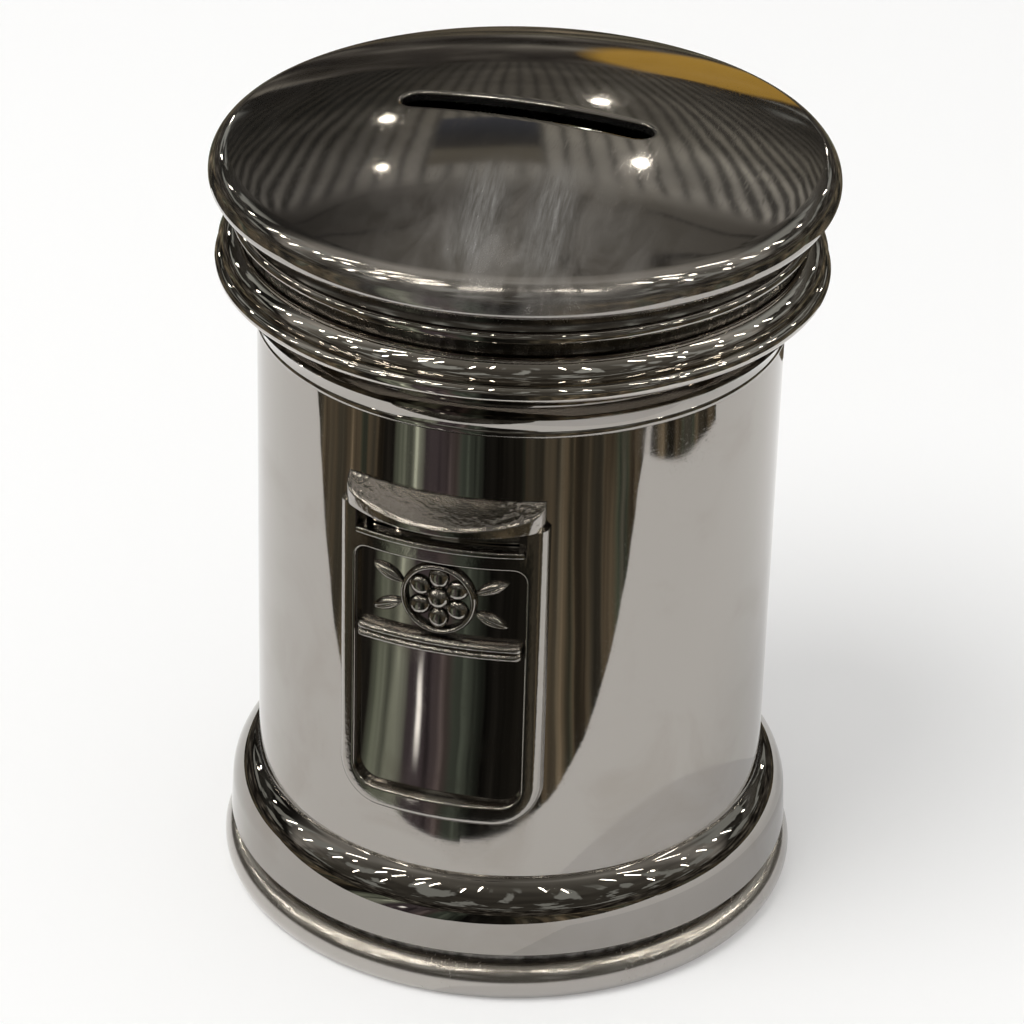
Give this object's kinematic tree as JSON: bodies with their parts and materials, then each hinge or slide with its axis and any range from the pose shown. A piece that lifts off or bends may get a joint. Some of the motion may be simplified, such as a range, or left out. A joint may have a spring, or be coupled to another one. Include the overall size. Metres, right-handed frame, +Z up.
{
  "type": "money box",
  "caption": "Round money box shaped like a street letter box, in polished pewter, with a coin slot across its domed cap and a pull-out bung in its base.",
  "frame": {"origin": "centre of the foot ring's underside, on the surface that the box stands on", "axes": "+Z up along the axis of the box, -Y out of the letter-box front, X along the coin slot"},
  "size_m": [0.0778, 0.0778, 0.1067],
  "materials": {
    "polished_pewter": "mirror polish",
    "cast_pewter": "polished casting",
    "bung_rubber": "matte"
  },
  "bodies": {
    "box": {"foot_ring": "polished_pewter", "base_plate": "polished_pewter", "plinth": "polished_pewter", "body_tube": "polished_pewter", "reeded_band": "polished_pewter", "collar": "polished_pewter", "neck_ring": "polished_pewter", "cap": "polished_pewter", "cap_spigot": "polished_pewter", "panel_frame": "cast_pewter", "back_plate": "polished_pewter", "cross_bar": "cast_pewter", "aperture_sill": "cast_pewter", "hood": "cast_pewter", "emblem": "cast_pewter"},
    "bung": {"bung": "bung_rubber"}
  },
  "joints": [
    {"name": "bung_pull", "type": "slide", "parent": "box", "child": "bung", "axis": [0, 0, -1], "range_m": [0, 0.03]}
  ]
}
